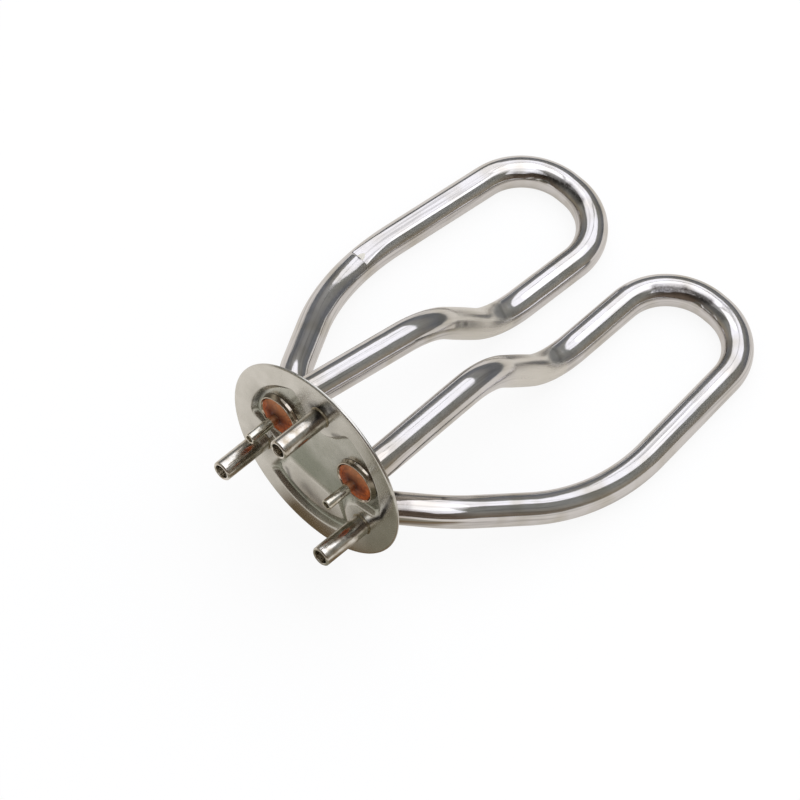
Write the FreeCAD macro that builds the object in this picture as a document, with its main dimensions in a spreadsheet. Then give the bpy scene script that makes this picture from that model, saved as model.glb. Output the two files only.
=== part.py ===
"""Tubular heating element of an electric kettle: head plate, studs, sealed terminals, sheath tube.

Frame: +X right when looking at the dry side, +Y into the water along the tubes, +Z up.
Origin: centre of the head plate on its dry rim face. Lengths in millimetres.
"""
import FreeCAD, Part
import math
import os
import re
import Sketcher

Vector = FreeCAD.Vector

# Driving dimensions
SIZES = {
    "plate_diameter": 50.0,
    "plate_thickness": 0.8,
    "plate_edge_fillet": 0.2,
    "sink_depth": 1.2,
    "sink_rim_radius": 19.8,
    "sink_floor_radius": 18.1,
    "lobe_rim_radius": 5.2,
    "lobe_floor_radius": 6.9,
    "lobe_flare": 40.0,
    "pad_rise": 0.5,
    "pad_top": 7.5,
    "pad_radius": 17.0,
    "pad_slope": 0.8,
    "pad_overlap": 0.4,
    "stud_top_height": 16.6,
    "stud_half_spacing": 15.3,
    "stud_low_drop": 8.1,
    "stud_diameter": 4.8,
    "stud_length": 13.0,
    "stud_bore": 3.3,
    "stud_bore_depth": 9.5,
    "stud_drill_point": 0.8,
    "stud_chamfer": 0.3,
    "stud_braze_leg": 0.6,
    "terminal_half_spacing": 11.8,
    "terminal_height": 4.2,
    "sheath_diameter": 7.4,
    "sheath_wall": 0.6,
    "bell_diameter": 10.9,
    "bell_wall": 0.5,
    "bell_flare": 0.55,
    "bell_proud": 0.2,
    "seal_dome": 0.7,
    "seal_root": 1.6,
    "bead_length": 3.0,
    "terminal_diameter": 2.5,
    "terminal_reach": 8.8,
    "pin_diameter": 2.1,
    "terminal_bore": 1.6,
    "terminal_bore_depth": 6.0,
    "cold_length": 24.0,
    "coil_wire": 0.35,
    "coil_grip": 5.0,
    "fit_clearance": 0.05,
    "leg_braze_leg": 1.1,
    "return_braze_bed": 0.35,
    "return_braze_half_length": 5.4,
    "return_braze_half_width": 2.4,
    "return_braze_height": 0.9,
    "return_braze_slope": 0.3,
}
# Corner points of the sheath route on the +X side, then the bend radius at each
ROUTE = {
    "stub_length": 9.0,
    "jog_start_x": 9.1,
    "jog_start_y": 45.3,
    "jog_start_z": -0.4,
    "jog_end_x": 8.5,
    "jog_end_y": 68.4,
    "loop_level": -22.5,
    "loop_inner_x": 7.5,
    "loop_outer_x": 36.4,
    "loop_end_y": 109.2,
    "leg_end_x": 42.2,
    "leg_end_y": 50.6,
    "foot_x": 24.6,
    "foot_y": 19.1,
    "foot_z": -12.9,
    "return_corner_x": 10.0,
    "return_height": -12.0,
    "stub_bend": 30.0,
    "jog_start_bend": 25.0,
    "jog_end_bend": 23.5,
    "loop_bend": 14.2,
    "leg_end_bend": 54.0,
    "foot_bend": 28.0,
    "return_bend": 11.0,
}
ALIASES = {**SIZES, **ROUTE}

doc = FreeCAD.newDocument("heating_element")
sheet = doc.addObject("Spreadsheet::Sheet", "Sizes")
for row, (alias, value) in enumerate(ALIASES.items(), start=1):
    sheet.set("A%d" % row, alias)
    sheet.set("B%d" % row, str(value))
    sheet.setAlias("B%d" % row, alias)
doc.recompute()


def over_sheet(formula):
    """Formula with each alias written as a cell of the sheet."""
    return re.sub("[a-z_]+", lambda word: ("Sizes." if word[0] in ALIASES else "") + word[0], formula)


def bind(thing, prop, formula):
    """Tie a property to a formula over the sheet's aliases."""
    thing.setExpression(prop, over_sheet(formula))


def number(formula):
    """Value that a formula over the sheet's aliases gives."""
    return float(sheet.evalExpression(over_sheet(formula)))


# Levels and offsets that several pieces share, as formulas over the aliases
PRESS_SHIFT = "plate_thickness * (sqrt(({0}) ^ 2 + ({1}) ^ 2) - ({0})) / ({1})"
SINK_SHIFT = PRESS_SHIFT.format("sink_rim_radius - sink_floor_radius", "sink_depth")
PAD_SHIFT = PRESS_SHIFT.format("pad_slope", "pad_rise")
FLOOR_BACK = "(sink_depth + plate_thickness)"
PAD_BACK = "(sink_depth - pad_rise + plate_thickness)"
SHEATH_RADIUS = "(sheath_diameter / 2)"
BORE_RADIUS = "(sheath_diameter / 2 - sheath_wall)"
BELL_ROOT = "(sink_depth - fit_clearance)"
BELL_INSIDE = "(sink_depth - fit_clearance - bell_wall)"
SEAL_END = "(%s + seal_root)" % BELL_INSIDE
BEAD_END = "(%s + bead_length)" % SEAL_END
PIN_HOLE = "(pin_diameter / 2 + fit_clearance)"
TERMINAL_ROOT = "(0 - bell_proud - seal_dome - fit_clearance)"
COIL_RADIUS = "(pin_diameter / 2 + fit_clearance + coil_wire)"
RETURN_DEPTH = "(%s + return_braze_bed + sheath_diameter / 2)" % PAD_BACK

NODES = []
SIDES = {"left": -1, "right": 1}
STUDS = {
    "top": ("0", "stud_top_height"),
    "left": ("- stud_half_spacing", "- stud_low_drop"),
    "right": ("stud_half_spacing", "- stud_low_drop"),
}


def keep(thing, label):
    """Name a finished sub-part and put it on the list of nodes."""
    thing.Label = label
    NODES.append(thing)
    return thing


def plane_sketch(body, name, role, offset="0"):
    """Empty sketch on one of the body's origin planes, moved along that plane's normal."""
    sketch = body.newObject("Sketcher::SketchObject", name)
    plane = next(item for item in body.Origin.OriginFeatures if item.Role == role)
    sketch.AttachmentSupport = [(plane, "")]
    sketch.MapMode = "FlatFace"
    bind(sketch, "AttachmentOffset.Base.z", offset)
    return sketch


def face_sketch(body, name, level):
    """Sketch parallel to the plate at a level in +Y, its own axes along X and Z."""
    return plane_sketch(body, name, "XZ_Plane", "- (%s)" % level)


def pin_point(sketch, geometry, vertex, across, along):
    """Fix one vertex of the sketch by its two coordinates, both formulas."""
    for kind, axis, formula in (("DistanceX", -2, across), ("DistanceY", -1, along)):
        value = number(formula)
        if abs(value) < 1e-9:
            sketch.addConstraint(Sketcher.Constraint("PointOnObject", geometry, vertex, axis))
            continue
        index = sketch.addConstraint(Sketcher.Constraint(kind, -1, 1, geometry, vertex, value))
        bind(sketch, "Constraints[%d]" % index, formula)


def set_radius(sketch, geometry, formula):
    """Bind the radius of an arc or circle to a formula."""
    index = sketch.addConstraint(Sketcher.Constraint("Radius", geometry, number(formula)))
    bind(sketch, "Constraints[%d]" % index, formula)


def add_circle(sketch, across, along, radius):
    """Circle whose centre and radius are formulas."""
    centre = Vector(number(across), number(along), 0)
    circle = sketch.addGeometry(Part.Circle(centre, Vector(0, 0, 1), number(radius)))
    pin_point(sketch, circle, 3, across, along)
    set_radius(sketch, circle, radius)


def add_arc(sketch, centre, start, end, radius):
    """Arc about a point (two formulas) from start to end, counter-clockwise."""
    middle = Vector(number(centre[0]), number(centre[1]), 0)
    first = math.atan2(start.y - middle.y, start.x - middle.x)
    last = math.atan2(end.y - middle.y, end.x - middle.x)
    if last <= first:
        last += 2 * math.pi
    circle = Part.Circle(middle, Vector(0, 0, 1), number(radius))
    arc = sketch.addGeometry(Part.ArcOfCircle(circle, first, last))
    pin_point(sketch, arc, 3, *centre)
    set_radius(sketch, arc, radius)
    return arc


def add_polygon(sketch, corners, dome=None):
    """Closed polygon through pairs of formulas; a dome is the first side's radius."""
    points = [Vector(number(across), number(along), 0) for across, along in corners]
    count = len(corners)
    sides = [Part.LineSegment(points[index], points[(index + 1) % count]) for index in range(count)]
    if dome:
        centre = points[0] + Vector(0, number(dome), 0)
        spoke = points[1] - centre
        circle = Part.Circle(centre, Vector(0, 0, 1), number(dome))
        sides[0] = Part.ArcOfCircle(circle, -math.pi / 2, math.atan2(spoke.y, spoke.x))
    for side in sides:
        sketch.addGeometry(side)
    for index, corner in enumerate(corners):
        sketch.addConstraint(Sketcher.Constraint("Coincident", index, 2, (index + 1) % count, 1))
        pin_point(sketch, index, 1, *corner)
    if dome:
        set_radius(sketch, 0, dome)


def crossings(centre, radius, other_radius):
    """Points where a circle about the origin meets one about a centre, clockwise one first."""
    reach = math.hypot(*centre)
    along = (radius ** 2 - other_radius ** 2 + reach ** 2) / (2 * reach)
    aside = math.sqrt(radius ** 2 - along ** 2)
    unit = Vector(centre[0] / reach, centre[1] / reach, 0)
    normal = Vector(-unit.y, unit.x, 0)
    return unit * along - normal * aside, unit * along + normal * aside


def add_tongue(sketch, centre, lobe_radius, rim_radius):
    """Arc round a stud's inner side, with a flared line from each end of it to the rim circle."""
    middle = Vector(number(centre[0]), number(centre[1]), 0)
    outward = Vector(middle).normalize()
    flare = math.radians(number("lobe_flare"))
    reach = "sqrt(({0}) ^ 2 + ({1}) ^ 2)"
    across = "({0}) + ({2}) * ({3}({1}) * cos(lobe_flare) - ({0}) * sin(lobe_flare)) / " + reach
    runs = []
    for turn in (1, -1):
        aside = Vector(-outward.y, outward.x, 0) * turn
        root = middle + (aside * math.cos(flare) - outward * math.sin(flare)) * number(lobe_radius)
        along = outward * math.cos(flare) + aside * math.sin(flare)
        lean = root.dot(along)
        end = root + along * (math.sqrt(lean ** 2 - root.dot(root) + number(rim_radius) ** 2) - lean)
        runs.append((root, end))
    arc = add_arc(sketch, centre, runs[0][0], runs[1][0], lobe_radius)
    sides = []
    for vertex, sign, (root, end) in zip((1, 2), ("-", "+"), runs):
        side = sketch.addGeometry(Part.LineSegment(root, end))
        sketch.addConstraint(Sketcher.Constraint("Tangent", arc, vertex, side, 1))
        index = sketch.addConstraint(Sketcher.Constraint("DistanceX", -1, 1, side, 1, root.x))
        bind(sketch, "Constraints[%d]" % index, across.format(centre[0], centre[1], lobe_radius, sign))
        sides.append((side, end))
    return sides


def sink_outline(body, name, level, radius, lobe_radius):
    """Round outline with a flared tongue round each stud, as one closed chain."""
    sketch = face_sketch(body, name, level)
    tongues = [add_tongue(sketch, STUDS[stud], lobe_radius, radius) for stud in ("right", "top", "left")]
    for index, (leaving, _) in enumerate(tongues):
        arriving = tongues[(index + 1) % len(tongues)][1]
        arc = add_arc(sketch, ("0", "0"), leaving[1], arriving[1], radius)
        sketch.addConstraint(Sketcher.Constraint("Coincident", leaving[0], 2, arc, 1))
        sketch.addConstraint(Sketcher.Constraint("Coincident", arriving[0], 2, arc, 2))
    return sketch


def pad_outline(body, name, level, inset, lobe_radius):
    """D between the two lower studs: a level top line, two bites and an arc below."""
    sketch = face_sketch(body, name, level)
    top = "- (pad_top + %s)" % inset
    radius = "pad_radius - (%s)" % inset
    stud = (number(STUDS["right"][0]), number(STUDS["right"][1]))
    bite = number(lobe_radius)
    half = stud[0] - math.sqrt(bite ** 2 - (number(top) - stud[1]) ** 2)
    low = crossings(stud, number(radius), bite)[0]
    right_top = Vector(half, number(top), 0)
    right_low = Vector(low.x, low.y, 0)
    left_top = Vector(-half, number(top), 0)
    left_low = Vector(-low.x, low.y, 0)
    line = sketch.addGeometry(Part.LineSegment(left_top, right_top))
    right = add_arc(sketch, STUDS["right"], right_top, right_low, lobe_radius)
    arc = add_arc(sketch, ("0", "0"), left_low, right_low, radius)
    left = add_arc(sketch, STUDS["left"], left_low, left_top, lobe_radius)
    sketch.addConstraint(Sketcher.Constraint("Coincident", line, 2, right, 1))
    sketch.addConstraint(Sketcher.Constraint("Coincident", right, 2, arc, 2))
    sketch.addConstraint(Sketcher.Constraint("Coincident", arc, 1, left, 1))
    sketch.addConstraint(Sketcher.Constraint("Coincident", left, 2, line, 1))
    index = sketch.addConstraint(Sketcher.Constraint("DistanceY", -1, 1, line, 1, number(top)))
    bind(sketch, "Constraints[%d]" % index, top)
    sketch.addConstraint(Sketcher.Constraint("Horizontal", line))
    return sketch


def loft(body, name, kind, first, second):
    """Additive or subtractive loft between two sketches of the body."""
    feature = body.newObject("PartDesign::" + kind, name)
    feature.Profile = first
    feature.Sections = [second]
    feature.Ruled = True
    return feature


def turned_body(label, profile, centre, dome=None):
    """Body turned about an axis along Y: the profile is pairs of radius and Y."""
    body = doc.addObject("PartDesign::Body", label)
    sketch = plane_sketch(body, label + "_profile", "XY_Plane")
    add_polygon(sketch, profile, dome)
    turn = body.newObject("PartDesign::Revolution", label + "_turn")
    turn.Profile = sketch
    turn.ReferenceAxis = (sketch, ["V_Axis"])
    turn.Angle = 360
    bind(body, "Placement.Base.x", centre[0])
    bind(body, "Placement.Base.z", centre[1])
    return body


def rounded_route(corners, radii):
    """Wire of straight runs joined by tangent arcs, from its corners and bend radii."""
    edges = []
    start = corners[0]
    for before, corner, after, radius in zip(corners, corners[1:], corners[2:], radii):
        arriving = (corner - before).normalize()
        leaving = (after - corner).normalize()
        turn = arriving.getAngle(leaving)
        reach = radius * math.tan(turn / 2)
        first = corner - arriving * reach
        last = corner + leaving * reach
        inward = (leaving - arriving).normalize()
        middle = corner + inward * (radius / math.cos(turn / 2) - radius)
        edges.append(Part.LineSegment(start, first).toShape())
        edges.append(Part.Arc(first, middle, last).toShape())
        start = last
    edges.append(Part.LineSegment(start, corners[-1]).toShape())
    return Part.Wire(edges)


def route_corners():
    """Corners of the sheath route from the +X terminal to the middle of the return run."""
    level = number("loop_level")
    return [
        Vector(number("terminal_half_spacing"), number("stub_length"), number("terminal_height")),
        Vector(number("jog_start_x"), number("jog_start_y"), number("jog_start_z")),
        Vector(number("jog_end_x"), number("jog_end_y"), level),
        Vector(number("loop_inner_x"), number("loop_end_y"), level),
        Vector(number("loop_outer_x"), number("loop_end_y"), level),
        Vector(number("leg_end_x"), number("leg_end_y"), level),
        Vector(number("foot_x"), number("foot_y"), number("foot_z")),
        Vector(number("return_corner_x"), number(RETURN_DEPTH), number("return_height")),
    ]


ROUTE_BENDS = ("stub_bend", "jog_start_bend", "jog_end_bend", "loop_bend",
               "loop_bend", "leg_end_bend", "foot_bend", "return_bend")
CORNERS = route_corners()
BENDS = [number(bend) for bend in ROUTE_BENDS]


def mirrored(point):
    """The same point on the -X side."""
    return Vector(-point.x, point.y, point.z)


def on_stub(level):
    """Point on the straight stub of the +X leg, at a level in +Y."""
    return Vector(CORNERS[0].x, level, CORNERS[0].z)


def on_leg(distance):
    """Point on the +X inner leg, at a distance beyond the stub's corner."""
    return CORNERS[0] + (CORNERS[1] - CORNERS[0]).normalize() * distance


def full_route(name, first, skipped):
    """Route from a point on the +X leg to its mirror image, without the corners before it."""
    half = CORNERS[skipped:]
    corners = [first] + half + [mirrored(point) for point in reversed(half)] + [mirrored(first)]
    bends = BENDS[skipped:]
    route = doc.addObject("Part::Feature", name)
    route.Shape = rounded_route(corners, bends + bends[::-1])
    return route


def pin_route(name, side, level):
    """Route of a terminal pin, from a level on the stub to its end in the cold leg."""
    corners = [on_stub(level), CORNERS[0], on_leg(number("cold_length"))]
    if side < 0:
        corners = [mirrored(point) for point in corners]
    route = doc.addObject("Part::Feature", name)
    route.Shape = rounded_route(corners, BENDS[:1])
    return route


def swept_rod(name, route, radius):
    """Round bar along a route, its radius a formula."""
    start = route.Shape.Edges[0]
    heading = start.tangentAt(start.FirstParameter)
    section = doc.addObject("Part::Circle", name + "_section")
    bind(section, "Radius", radius)
    section.Placement = FreeCAD.Placement(start.valueAt(start.FirstParameter),
                                          FreeCAD.Rotation(Vector(0, 0, 1), heading))
    rod = doc.addObject("Part::Sweep", name)
    rod.Sections = [section]
    rod.Spine = (route, ["Edge%d" % (index + 1) for index in range(len(route.Shape.Edges))])
    rod.Solid = True
    rod.Frenet = False
    return rod


def cut(name, base, tools):
    """Base less each of the tools, as one boolean per tool."""
    for index, tool in enumerate(tools):
        result = doc.addObject("Part::Cut", "%s_cut%d" % (name, index))
        result.Base = base
        result.Tool = tool
        base = result
    return base


def fuse(name, pieces):
    """One solid of several that overlap."""
    result = doc.addObject("Part::MultiFuse", name)
    result.Shapes = pieces
    result.Refine = True
    return result


def head_plate():
    """Pressed sheet: flat rim, sunk floor with a lobe round each stud, and a raised D pad."""
    body = doc.addObject("PartDesign::Body", "head_plate")
    disc = face_sketch(body, "disc_outline", "0")
    add_circle(disc, "0", "0", "plate_diameter / 2")
    blank = body.newObject("PartDesign::Pad", "blank")
    blank.Profile = disc
    blank.Reversed = True
    bind(blank, "Length", "plate_thickness")
    doc.recompute()
    edge = body.newObject("PartDesign::Fillet", "rounded_edge")
    edge.Base = (blank, ["Edge%d" % (index + 1) for index, item in enumerate(blank.Shape.Edges)
                         if item.Closed and item.Curve.TypeId == "Part::GeomCircle"])
    bind(edge, "Radius", "plate_edge_fillet")
    back_rim = sink_outline(body, "floor_back_root", "plate_thickness",
                            "sink_rim_radius + %s" % SINK_SHIFT, "lobe_rim_radius - %s" % SINK_SHIFT)
    back_floor = sink_outline(body, "floor_back_outline", FLOOR_BACK,
                              "sink_floor_radius + %s" % SINK_SHIFT, "lobe_floor_radius - %s" % SINK_SHIFT)
    loft(body, "floor_back", "AdditiveLoft", back_rim, back_floor)
    front_rim = sink_outline(body, "sink_rim_outline", "0", "sink_rim_radius", "lobe_rim_radius")
    front_floor = sink_outline(body, "sink_floor_outline", "sink_depth",
                               "sink_floor_radius", "lobe_floor_radius")
    loft(body, "floor_sink", "SubtractiveLoft", front_rim, front_floor)
    pad_root = pad_outline(body, "pad_root", "sink_depth", "0", "lobe_floor_radius - pad_overlap")
    pad_face = pad_outline(body, "pad_face", "sink_depth - pad_rise", "pad_slope",
                           "lobe_floor_radius - pad_overlap - pad_slope")
    loft(body, "pad_front", "AdditiveLoft", pad_root, pad_face)
    hollow_root = pad_outline(body, "pad_hollow_root", FLOOR_BACK, PAD_SHIFT,
                              "lobe_floor_radius - pad_overlap - pad_slope")
    hollow_face = pad_outline(body, "pad_hollow_face", PAD_BACK, "pad_slope + %s" % PAD_SHIFT,
                              "lobe_floor_radius - pad_overlap - 2 * pad_slope")
    loft(body, "pad_hollow", "SubtractiveLoft", hollow_root, hollow_face)
    holes = face_sketch(body, "leg_hole_outline", "0")
    for side in SIDES.values():
        add_circle(holes, "%d * terminal_half_spacing" % side, "terminal_height",
                   "%s + fit_clearance" % SHEATH_RADIUS)
    leg_holes = body.newObject("PartDesign::Pocket", "leg_holes")
    leg_holes.Profile = holes
    bind(leg_holes, "Length", "2 * %s" % FLOOR_BACK)
    keep(body, "head_plate")


def sheath_tube():
    """One hollow tube: both legs, jogs, loops and feet, with a belled mouth at each end."""
    route = full_route("sheath_route", on_stub(number(BELL_ROOT)), 0)
    outside = swept_rod("sheath_outside", route, SHEATH_RADIUS)
    inside = swept_rod("sheath_inside", route, BORE_RADIUS)
    tube = cut("sheath_wall", outside, [inside])
    bell_radius = "bell_diameter / 2"
    bell_bore = "bell_diameter / 2 - bell_wall"
    profile = [
        (SHEATH_RADIUS, BELL_ROOT),
        (bell_radius, "%s - bell_flare" % BELL_ROOT),
        (bell_radius, "- bell_proud"),
        (bell_bore, "- bell_proud"),
        (bell_bore, "%s - bell_flare" % BELL_INSIDE),
        (BORE_RADIUS, BELL_INSIDE),
        (BORE_RADIUS, "%s + fit_clearance" % BELL_ROOT),
        (SHEATH_RADIUS, "%s + fit_clearance" % BELL_ROOT),
    ]
    mouths = []
    for name, side in SIDES.items():
        centre = ("%d * terminal_half_spacing" % side, "terminal_height")
        mouths.append(turned_body("mouth_" + name, profile, centre))
    keep(fuse("sheath_tube", [tube] + mouths), "sheath_tube")


def coil_and_fill():
    """Winding along the heated length, and the packed powder round and inside it."""
    start = on_leg(number("cold_length - coil_grip"))
    route = full_route("coil_route", start, 1)
    outside = swept_rod("coil_outside", route, COIL_RADIUS)
    inside = swept_rod("coil_inside", route, PIN_HOLE)
    keep(cut("coil", outside, [inside]), "resistance_coil")
    powder_route = full_route("powder_route", on_stub(number(BEAD_END)), 0)
    powder = swept_rod("powder_outside", powder_route, "%s - fit_clearance" % BORE_RADIUS)
    tools = [swept_rod("coil_channel", route, "%s + fit_clearance" % COIL_RADIUS)]
    for name, side in SIDES.items():
        channel_route = pin_route("pin_channel_route_" + name, side, 0)
        tools.append(swept_rod("pin_channel_" + name, channel_route, PIN_HOLE))
    keep(cut("powder", powder, tools), "magnesia_fill")


def cold_pin(name, side, centre):
    """Pin from the seal to the winding, with a wider hollow end outside the seal."""
    route = pin_route("pin_route_" + name, side, number(TERMINAL_ROOT) - number("fit_clearance"))
    rod = swept_rod("pin_rod_" + name, route, "pin_diameter / 2")
    end = turned_body("pin_end_" + name, [
        ("0", TERMINAL_ROOT),
        ("0", "- terminal_reach + terminal_bore_depth"),
        ("terminal_bore / 2", "- terminal_reach + terminal_bore_depth"),
        ("terminal_bore / 2", "- terminal_reach"),
        ("terminal_diameter / 2", "- terminal_reach"),
        ("terminal_diameter / 2", TERMINAL_ROOT),
    ], centre)
    return fuse("pin_" + name, [rod, end])


def end_seal(name, centre):
    """Domed seal that fills the belled mouth and a little of the bore behind it."""
    rim_radius = "(bell_diameter / 2 - bell_wall - fit_clearance)"
    plug_radius = "%s - fit_clearance" % BORE_RADIUS
    width = "(%s - %s)" % (rim_radius, PIN_HOLE)
    drop = "(seal_dome + fit_clearance)"
    dome = "(%s ^ 2 + %s ^ 2) / (2 * %s)" % (width, drop, drop)
    return turned_body("end_seal_" + name, [
        (PIN_HOLE, "- bell_proud - seal_dome"),
        (rim_radius, "- bell_proud + fit_clearance"),
        (rim_radius, "%s - bell_flare - fit_clearance" % BELL_INSIDE),
        (plug_radius, "%s - fit_clearance" % BELL_INSIDE),
        (plug_radius, SEAL_END),
        (PIN_HOLE, SEAL_END),
    ], centre, dome)


def terminal(name, side):
    """Pin with a hollow end, the seal in the tube's mouth, the bead behind it and the braze."""
    centre = ("%d * terminal_half_spacing" % side, "terminal_height")
    keep(cold_pin(name, side, centre), "terminal_pin_" + name)
    keep(end_seal(name, centre), "end_seal_" + name)
    plug_radius = "%s - fit_clearance" % BORE_RADIUS
    bead = turned_body("bead_" + name, [
        (PIN_HOLE, SEAL_END),
        (plug_radius, SEAL_END),
        (plug_radius, BEAD_END),
        (PIN_HOLE, BEAD_END),
    ], centre)
    keep(bead, "insulating_bead_" + name)
    braze = turned_body("leg_braze_" + name, [
        ("%s + fit_clearance" % SHEATH_RADIUS, FLOOR_BACK),
        ("%s + leg_braze_leg" % SHEATH_RADIUS, FLOOR_BACK),
        ("%s + fit_clearance" % SHEATH_RADIUS, "%s + leg_braze_leg" % FLOOR_BACK),
    ], centre)
    keep(braze, "leg_braze_" + name)


def stud(name):
    """Hollow fixing stud on its lobe of the plate, and the braze round its foot."""
    centre = STUDS[name]
    keep(turned_body("fixing_stud_" + name, [
        ("0", "0"),
        ("stud_diameter / 2", "0"),
        ("stud_diameter / 2", "- (stud_length - stud_chamfer)"),
        ("stud_diameter / 2 - stud_chamfer", "- stud_length"),
        ("stud_bore / 2", "- stud_length"),
        ("stud_bore / 2", "- (stud_length - stud_bore_depth)"),
        ("0", "- (stud_length - stud_bore_depth - stud_drill_point)"),
    ], centre), "fixing_stud_" + name)
    keep(turned_body("stud_braze_" + name, [
        ("stud_diameter / 2 + fit_clearance", "0"),
        ("stud_diameter / 2 + fit_clearance", "- stud_braze_leg"),
        ("stud_diameter / 2 + stud_braze_leg", "0"),
    ], centre), "stud_braze_" + name)


def return_braze():
    """Bed of braze between the pad's hollow and the return run of the tube."""
    bed = doc.addObject("PartDesign::Body", "return_bed")
    sketch = plane_sketch(bed, "return_bed_profile", "YZ_Plane", "- return_braze_half_length")
    height = "%s + return_braze_bed + return_braze_height" % PAD_BACK
    half = "return_braze_half_width"
    add_polygon(sketch, [
        (PAD_BACK, "return_height - %s" % half),
        (height, "return_height - %s + return_braze_slope" % half),
        (height, "return_height + %s - return_braze_slope" % half),
        (PAD_BACK, "return_height + %s" % half),
    ])
    bar = bed.newObject("PartDesign::Pad", "return_bed_bar")
    bar.Profile = sketch
    bind(bar, "Length", "2 * return_braze_half_length")
    channel = doc.addObject("Part::Cylinder", "return_channel")
    channel.Placement.Rotation = FreeCAD.Rotation(Vector(0, 0, 1), Vector(1, 0, 0))
    bind(channel, "Radius", "%s + fit_clearance" % SHEATH_RADIUS)
    bind(channel, "Height", "4 * return_braze_half_length")
    bind(channel, "Placement.Base.x", "- 2 * return_braze_half_length")
    bind(channel, "Placement.Base.y", RETURN_DEPTH)
    bind(channel, "Placement.Base.z", "return_height")
    keep(cut("return_braze", bed, [channel]), "return_braze")


def write_nodes():
    """Check every object and each node's shape, then write the nodes as STEP files."""
    doc.recompute()
    for item in doc.Objects:
        if "Invalid" in item.State or "Error" in item.State:
            raise RuntimeError("%s: %s" % (item.Name, item.State))
    os.makedirs("parts", exist_ok=True)
    for node in NODES:
        shape = node.Shape
        if shape.isNull() or not shape.isValid() or not shape.Solids:
            raise RuntimeError("bad shape: " + node.Label)
        shape.exportStep("parts/%s.step" % node.Label)
        print(node.Label, len(shape.Solids), round(shape.Volume, 2))


head_plate()
sheath_tube()
coil_and_fill()
for side_name, side_sign in SIDES.items():
    terminal(side_name, side_sign)
for stud_name in STUDS:
    stud(stud_name)
return_braze()
write_nodes()
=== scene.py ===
"""Looks of a kettle's tubular heating element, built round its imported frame.

Frame: metres, +X right when looking at the dry side, +Y into the water along the tubes, +Z up.
The sizes in the classes are millimetres, as on a maker's drawing, and MM turns them to metres.
"""
import logging
import math
from dataclasses import dataclass
from enum import Enum
from typing import Callable, Sequence

import bmesh
import bpy
from mathutils import Matrix, Vector, noise


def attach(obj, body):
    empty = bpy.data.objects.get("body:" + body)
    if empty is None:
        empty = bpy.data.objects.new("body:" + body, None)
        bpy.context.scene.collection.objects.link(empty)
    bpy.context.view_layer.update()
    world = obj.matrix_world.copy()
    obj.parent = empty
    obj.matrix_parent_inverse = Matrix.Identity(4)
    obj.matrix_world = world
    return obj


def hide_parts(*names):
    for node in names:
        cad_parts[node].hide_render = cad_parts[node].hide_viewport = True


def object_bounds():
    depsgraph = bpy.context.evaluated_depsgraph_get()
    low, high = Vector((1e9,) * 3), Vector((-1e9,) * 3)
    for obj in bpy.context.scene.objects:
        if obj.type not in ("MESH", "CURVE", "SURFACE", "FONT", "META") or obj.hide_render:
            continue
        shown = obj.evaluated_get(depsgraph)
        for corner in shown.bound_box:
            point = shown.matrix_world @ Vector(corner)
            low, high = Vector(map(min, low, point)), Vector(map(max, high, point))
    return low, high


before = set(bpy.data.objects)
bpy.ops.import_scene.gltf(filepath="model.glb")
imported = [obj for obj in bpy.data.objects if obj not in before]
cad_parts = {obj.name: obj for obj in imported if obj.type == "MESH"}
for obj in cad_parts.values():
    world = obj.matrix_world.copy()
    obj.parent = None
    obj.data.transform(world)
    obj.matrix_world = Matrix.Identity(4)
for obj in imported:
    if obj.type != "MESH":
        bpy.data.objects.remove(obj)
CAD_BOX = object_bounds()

MM = 0.001
WELD = 1e-6
SHARP = math.radians(30)
LEG_ACROSS = 11.8
LEG_HEIGHT = 4.2
BODY = "root"
PICTURE_WIDTH = 800
SENSOR_WIDTH = 36.0
LOG = logging.getLogger("heating_element")

Pair = tuple[float, float]
Triple = tuple[float, float, float]
Inputs = dict[str | int, object]
Sockets = tuple[object, object, object]
Tree = bpy.types.NodeTree
Piece = bpy.types.Object
Shape = bmesh.types.BMesh


# Small tools

def linear(code: str) -> tuple[float, float, float, float]:
    """Turn an sRGB hex colour to linear light.

    Args:
        code: six hex digits after a hash sign.

    Returns:
        Red, green, blue and an alpha of one.
    """
    parts = [int(code[start:start + 2], 16) / 255 for start in (1, 3, 5)]
    light = [part / 12.92 if part <= 0.04045 else ((part + 0.055) / 1.055) ** 2.4 for part in parts]
    return (*light, 1.0)


def per_size(size: float) -> float:
    """Texture scale on Object coordinates for a feature of a size in mm."""
    return 1 / (size * MM)


def held(value: float) -> float:
    """Keep a value between 0 and 1."""
    return min(1.0, max(0.0, value))


def add_node(tree: Tree, kind: str, inputs: Inputs | None = None, **settings: object) -> object:
    """Add a node with its settings, and give its inputs their constants and links.

    Args:
        tree: tree that gets the node.
        kind: type name of the node, after the word ShaderNode.
        inputs: a constant or an output socket for each input's name or number.
        settings: properties of the node itself.

    Returns:
        Outputs of the new node.
    """
    node = tree.nodes.new("ShaderNode" + kind)
    for name, value in settings.items():
        setattr(node, name, value)
    for name, value in (inputs or {}).items():
        if isinstance(value, bpy.types.NodeSocket):
            tree.links.new(value, node.inputs[name])
        else:
            node.inputs[name].default_value = value
    return node.outputs


def overlap(tree: Tree, *parts: object) -> object:
    """Multiply patterns, so that the result is high only where all of them are.

    Args:
        tree: tree that gets the nodes.
        parts: each a socket as it is, or a socket with two pairs: a low value of the pattern and
            what it becomes, and a high value and what that becomes. It is held at both ends.

    Returns:
        Output socket of the product.
    """
    product = None
    for part in parts:
        if isinstance(part, tuple):
            socket, low, high = part
            limits = {"From Min": low[0], "To Min": low[1], "From Max": high[0], "To Max": high[1]}
            part = add_node(tree, "MapRange", {"Value": socket, **limits})["Result"]
        if product is not None:
            part = add_node(tree, "Math", {0: product, 1: part}, operation="MULTIPLY")[0]
        product = part
    return product


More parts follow.
